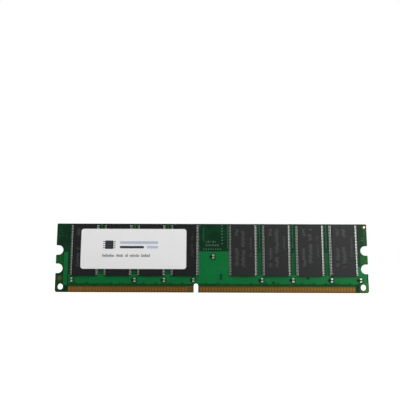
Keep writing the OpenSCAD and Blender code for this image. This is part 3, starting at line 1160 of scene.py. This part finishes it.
def frame_marks(mesh, side, left, right, low, high, line=0.14):
    """Four corner angles of a printed outline."""
    arm = 0.7
    for x, inward in ((left, 1), (right, -1)):
        for z, up in ((low, 1), (high, -1)):
            bar(mesh, side, x + inward * arm / 2, z, arm, line)
            bar(mesh, side, x, z + up * arm / 2, line, arm)


def front_marks(mesh, side, chance):
    """Printed marks of the labelled face: the spare site's, and a few at either end of the board."""
    greeked_row(mesh, side, SPARE_LEFT + 2.8, SPARE_LEFT + 4.8, 21.5, 0.8, chance)
    greeked_row(mesh, side, SPARE_LEFT + 5.5, SPARE_LEFT + 6.9, 21.5, 0.8, chance)
    greeked_row(mesh, side, SPARE_LEFT + 2.8, SPARE_LEFT + 8.3, 20.0, 0.95, chance)
    for k in range(8):
        bar(mesh, side, SPARE_LEFT + 2.0 + k, 18.35, 0.42, 0.5)
    bar(mesh, side, SPARE_LEFT + 0.3, 28.4, 0.3, 0.5)
    for x, z in ((2.0, 26.2), (2.3, 25.2), (1.3, 23.9), (2.6, 24.1), (4.2, 23.6)):
        bar(mesh, side, x - BOARD_END, z, 0.34, 0.2)
    greeked_row(mesh, side, BOARD_END - 2.6, BOARD_END - 1.0, 23.2, 0.3, chance)
    greeked_row(mesh, side, BOARD_END - 2.6, BOARD_END - 1.2, 22.2, 0.3, chance)


def rear_marks(mesh, side, chance):
    """Printed marks of the rear face: pin-one dots, the EEPROM's outline and greeked rows."""
    for x in CHIP_XS:
        disc(mesh, side, x - LEAD_TIP - 0.45, CHIP_LOW.z - 0.35, 0.2, PRINT_RISE)
    left, right = EEPROM_LOW.x - 0.5, EEPROM_HIGH.x + 0.5
    frame_marks(mesh, side, left, right, EEPROM.z - 2.0, EEPROM.z + 2.0)
    greeked_row(mesh, side, -4.6, 4.4, 16.4, 0.5, chance)
    greeked_row(mesh, side, -4.6, 2.2, 15.2, 0.5, chance)
    greeked_row(mesh, side, -BOARD_END + 1.0, -BOARD_END + 3.4, 26.4, 0.4, chance)


def add_board_marks(looks):
    """Screen-printed marks of both faces."""
    ink = ink_finish("board_ink", looks.ink, 0.55)
    for name, side in SIDES.items():
        chance = random.Random(looks.seed + 3 * side)
        mesh = bmesh.new()
        draw_marks = front_marks if side < 0 else rear_marks
        draw_marks(mesh, side, chance)
        make_piece(f"board_marks_{name}", mesh, ink)


def label_front(looks):
    """The label's front, as a function of the place along the board: it dips between packages."""
    half_gap = GAP_XS[0] - CHIP_XS[0] - CHIP_HALF
    sag = looks.sag / MM

    def front(x):
        """How far forward the label's face is at x."""
        dip = 0.0
        for gap in LABELLED_GAPS:
            share = abs(x - gap) / half_gap
            if share < 1:
                dip = sag * (1 - share**2) ** 2
        return LABEL_LOW.y + dip

    return front


def greeked_line():
    """Groups of upright strokes, where a line of text would be, as patches like the mark's."""
    groups, space = (5.2, 3.0, 1.2, 4.2, 3.8), 0.75
    lefts = [9.3 + sum(groups[:i]) + space * i for i in range(len(groups))]
    pitch = 0.42
    return [
        (left + pitch * k, 0.26, 5.05, 5.95 + 0.4 * ((k * 3 + i) % 4 == 0), 0.08)
        for i, (left, width) in enumerate(zip(lefts, groups))
        for k in range(round(width / pitch))
    ]


def add_label(looks):
    """The paper label in place of its plain solid, with an abstract mark and a greeked line."""
    front = label_front(looks)
    thick = LABEL_HIGH.y - LABEL_LOW.y
    radius = looks.radius / MM
    mesh = bmesh.new()
    curved_patch(mesh, LABEL_LOW.x, LABEL_HIGH.x, LABEL_LOW.z, LABEL_HIGH.z, radius, front, thick)
    sheet = make_piece("label_sheet", mesh, paper_finish(looks))
    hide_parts("label")

    def printed(x):
        """How far forward the ink is at x."""
        return front(x) - INK_RISE

    for name, ink_name, paint, roughness, patches in (
        ("label_mark_dark", "dark_ink", looks.dark_ink, 0.5, [MARK_CHIP, MARK_DARK_BAR, *MARK_PINS]),
        ("label_mark_pale", "pale_ink", looks.pale_ink, 0.5, MARK_PALE_BARS),
        ("label_line", "grey_ink", looks.grey_ink, 0.55, greeked_line()),
    ):
        mesh = bmesh.new()
        for left, width, low, high, corner in patches:
            start, foot, head = LABEL_LOW.x + left, LABEL_LOW.z + low, LABEL_LOW.z + high
            curved_patch(mesh, start, start + width, foot, head, corner, printed, INK_THICK)
        make_piece(name, mesh, ink_finish(ink_name, paint, roughness))


# ---- Studio ----


def softbox(name, place, aim, size, watts):
    """A square area light that faces a point."""
    light = bpy.data.lights.new(name, "AREA")
    light.shape = "SQUARE"
    light.size = size * MM
    light.energy = watts
    lamp = bpy.data.objects.new(name, light)
    bpy.context.scene.collection.objects.link(lamp)
    lamp.location = Vector(place) * MM
    lamp.rotation_mode = "QUATERNION"
    lamp.rotation_quaternion = (Vector(aim) * MM - lamp.location).to_track_quat("-Z", "Y")


def make_world(looks):
    """A white backdrop, and a dimmer surround that is brighter overhead."""
    world = bpy.data.worlds.new("studio")
    bpy.context.scene.world = world
    world.use_nodes = True
    tree = world.node_tree
    surround = tree.nodes["Background"]
    backdrop = tree.nodes.new("ShaderNodeBackground")
    backdrop.inputs["Color"].default_value = (1, 1, 1, 1)
    direction = tree.nodes.new("ShaderNodeTexCoord")
    split = tree.nodes.new("ShaderNodeSeparateXYZ")
    rise = tree.nodes.new("ShaderNodeMapRange")
    tree.links.new(direction.outputs["Generated"], split.inputs[0])
    tree.links.new(split.outputs["Z"], rise.inputs["Value"])
    rise.inputs["From Min"].default_value = CEILING_STARTS
    rise.inputs["From Max"].default_value = 1.0
    rise.inputs["To Min"].default_value = looks.surround
    rise.inputs["To Max"].default_value = looks.ceiling
    tree.links.new(rise.outputs[0], surround.inputs["Strength"])
    surround.inputs["Color"].default_value = (1, 1, 1, 1)
    ray = tree.nodes.new("ShaderNodeLightPath")
    choose = tree.nodes.new("ShaderNodeMixShader")
    tree.links.new(ray.outputs["Is Camera Ray"], choose.inputs[0])
    tree.links.new(surround.outputs[0], choose.inputs[1])
    tree.links.new(backdrop.outputs[0], choose.inputs[2])
    tree.links.new(choose.outputs[0], tree.nodes["World Output"].inputs["Surface"])


def make_camera(looks):
    """The camera, aimed at a point and turned a little about its own axis."""
    data = bpy.data.cameras.new("camera")
    data.lens = looks.lens
    data.sensor_width = 36
    data.clip_start = 1 * MM
    data.clip_end = 100
    camera = bpy.data.objects.new("camera", data)
    bpy.context.scene.collection.objects.link(camera)
    place = Vector(looks.camera_at)
    ahead = (Vector(looks.camera_aim) - place).normalized()
    right = ahead.cross(Vector((0, 0, 1))).normalized()
    up = right.cross(ahead)
    turn = Matrix.Rotation(looks.camera_roll, 3, -ahead)
    right, up = turn @ right, turn @ up
    camera.matrix_world = Matrix(
        (
            (right.x, up.x, -ahead.x, place.x),
            (right.y, up.y, -ahead.y, place.y),
            (right.z, up.z, -ahead.z, place.z),
            (0, 0, 0, 1),
        )
    )
    bpy.context.scene.camera = camera


def make_floor(looks):
    """A wide pale floor just under the contact edge."""
    mesh = bmesh.new()
    bmesh.ops.create_grid(mesh, x_segments=8, y_segments=8, size=FLOOR_REACH * MM)
    bmesh.ops.translate(mesh, verts=mesh.verts, vec=(0, 0, -FLOOR_GAP * MM))
    data = bpy.data.meshes.new("floor")
    mesh.to_mesh(data)
    mesh.free()
    finish = Finish("studio_floor", looks.floor, 0.8, specular=0.1)
    finish.shade(finish.noise(0.01, 2.0), 0.985)
    finish.shader.inputs["Emission Color"].default_value = (1, 1, 1, 1)
    ray = finish.tree.nodes.new("ShaderNodeLightPath")
    glow = finish.math("MULTIPLY", ray.outputs["Is Camera Ray"], looks.floor_glow)
    finish.feed(finish.shader.inputs["Emission Strength"], glow)
    data.materials.append(finish.done())
    floor = bpy.data.objects.new("floor", data)
    bpy.context.scene.collection.objects.link(floor)


# ---- Operators ----


class MODULE_OT_board(bpy.types.Operator):
    """Finish the laminate, the copper planes, the solder mask and the gold contacts"""

    bl_idname = "module.board"
    bl_label = "Finish the board"

    def execute(self, context):
        looks = context.scene.module_board
        laminate = laminate_finish(looks)
        finish_nodes(("laminate_core", "laminate_front", "laminate_rear"), laminate)
        finish_nodes(("ground_plane", "power_plane"), inner_copper_finish(context.scene.module_package))
        for name in SIDES:
            finish_nodes([f"solder_mask_{name}"], solder_mask_finish(name, looks))
        finish_nodes(("contacts_front", "contacts_rear"), gold_finish(looks))
        finish_nodes(("fiducials_front", "fiducials_rear"), fiducial_finish())
        return {"FINISHED"}


class MODULE_OT_packages(bpy.types.Operator):
    """Finish the memory packages, the EEPROM and what they hold"""

    bl_idname = "module.packages"
    bl_label = "Finish the packages"

    def execute(self, context):
        looks = context.scene.module_package
        tin = metal_finish("tinned_lead", looks.tin, 0.28, 0.48, darker_foot=0.5)
        silicon = silicon_finish(looks)
        plate = metal_finish("lead_frame", looks.copper_alloy, 0.3, 0.5)
        for name, side in SIDES.items():
            marks = [(-side * offset, *rest) for offset, *rest in PACKAGE_MARKS]
            for i in PACKAGES:
                x = middle(f"memory_case_{name}_{i}").x
                labelled = side < 0 and x < LABEL_HIGH.x + CHIP_HALF
                gloss = looks.dull_gloss if labelled else looks.gloss
                material = epoxy_finish(f"epoxy_{name}_{i}", x, looks, i + 10 * side, marks, gloss)
                finish_nodes([f"memory_case_{name}_{i}"], material)
                finish_nodes([f"memory_leads_{name}_{i}"], tin)
            finish_nodes([f"memory_dies_{name}"], silicon)
            finish_nodes([f"die_paddles_{name}"], plate)
        eeprom = epoxy_finish("epoxy_eeprom", EEPROM.x, looks, 30, EEPROM_MARKS, looks.gloss)
        finish_nodes(["eeprom_case"], eeprom)
        finish_nodes(["eeprom_leads"], tin)
        finish_nodes(["eeprom_die"], silicon)
        finish_nodes(["eeprom_paddle"], plate)
        return {"FINISHED"}


class MODULE_OT_small_parts(bpy.types.Operator):
    """Finish the capacitors and the resistor arrays"""

    bl_idname = "module.small_parts"
    bl_label = "Finish the small parts"

    def execute(self, context):
        looks = context.scene.module_package
        tin = metal_finish("end_tin", looks.tin, 0.3, 0.5)
        finish_nodes(("capacitor_bodies_front", "capacitor_bodies_rear"), ceramic_finish(looks))
        finish_nodes(("capacitor_ends_front", "capacitor_ends_rear", "resistor_array_ends"), tin)
        finish_nodes(["resistor_array_bodies"], glaze_finish(looks))
        return {"FINISHED"}


class MODULE_OT_solder(bpy.types.Operator):
    """Add the solder joints of every lead and end cap"""

    bl_idname = "module.solder"
    bl_label = "Add the solder"

    def execute(self, context):
        add_solder(context.scene.module_package)
        return {"FINISHED"}


class MODULE_OT_tracks(bpy.types.Operator):
    """Add the tracks, the vias and the plating stubs of the contacts"""

    bl_idname = "module.tracks"
    bl_label = "Add the tracks and vias"

    def execute(self, context):
        add_tracks(context.scene.module_board)
        add_contact_stubs()
        return {"FINISHED"}


class MODULE_OT_board_marks(bpy.types.Operator):
    """Add the screen-printed marks of the board"""

    bl_idname = "module.board_marks"
    bl_label = "Add the board marks"

    def execute(self, context):
        add_board_marks(context.scene.module_board)
        return {"FINISHED"}


class MODULE_OT_label(bpy.types.Operator):
    """Add the paper label and its abstract print"""

    bl_idname = "module.label"
    bl_label = "Add the label"

    def execute(self, context):
        add_label(context.scene.module_label)
        return {"FINISHED"}


class MODULE_OT_stage(bpy.types.Operator):
    """Set up the floor, the lights, the surround and the camera"""

    bl_idname = "module.stage"
    bl_label = "Set up the studio"

    def execute(self, context):
        looks = context.scene.module_studio
        for name, place, size in LIGHTS:
            softbox(name, place, (0, 0, BOARD_TOP / 2), size, getattr(looks, f"{name}_power"))
        make_world(looks)
        make_floor(looks)
        make_camera(looks)
        context.scene.view_settings.view_transform = "Standard"
        return {"FINISHED"}


class MODULE_PT_looks(bpy.types.Panel):
    """The module's steps and settings"""

    bl_label = "Memory module"
    bl_idname = "MODULE_PT_looks"
    bl_space_type = "VIEW_3D"
    bl_region_type = "UI"
    bl_category = "Module"

    def draw(self, context):
        """A button for each step, then every setting"""
        for step in OPERATORS:
            self.layout.operator(step.bl_idname)
        for group in ("module_board", "module_package", "module_label", "module_studio"):
            settings = getattr(context.scene, group)
            box = self.layout.box()
            for name in settings.__annotations__:
                box.prop(settings, name)


SETTINGS = {
    "module_board": BoardLooks,
    "module_package": PackageLooks,
    "module_label": LabelLooks,
    "module_studio": StudioLooks,
}
OPERATORS = (
    MODULE_OT_board,
    MODULE_OT_packages,
    MODULE_OT_small_parts,
    MODULE_OT_solder,
    MODULE_OT_tracks,
    MODULE_OT_board_marks,
    MODULE_OT_label,
    MODULE_OT_stage,
)
CLASSES = (*SETTINGS.values(), *OPERATORS, MODULE_PT_looks)


def register():
    """Adds the settings, the steps and the panel."""
    for made in CLASSES:
        bpy.utils.register_class(made)
    for name, settings in SETTINGS.items():
        setattr(bpy.types.Scene, name, PointerProperty(type=settings))


def unregister():
    """Takes them away again."""
    for name in SETTINGS:
        delattr(bpy.types.Scene, name)
    for made in reversed(CLASSES):
        bpy.utils.unregister_class(made)


def main():
    """Runs every step in order."""
    register()
    for step in (
        bpy.ops.module.board,
        bpy.ops.module.packages,
        bpy.ops.module.small_parts,
        bpy.ops.module.solder,
        bpy.ops.module.tracks,
        bpy.ops.module.board_marks,
        bpy.ops.module.label,
        bpy.ops.module.stage,
    ):
        step()


if __name__ == "__main__":
    main()
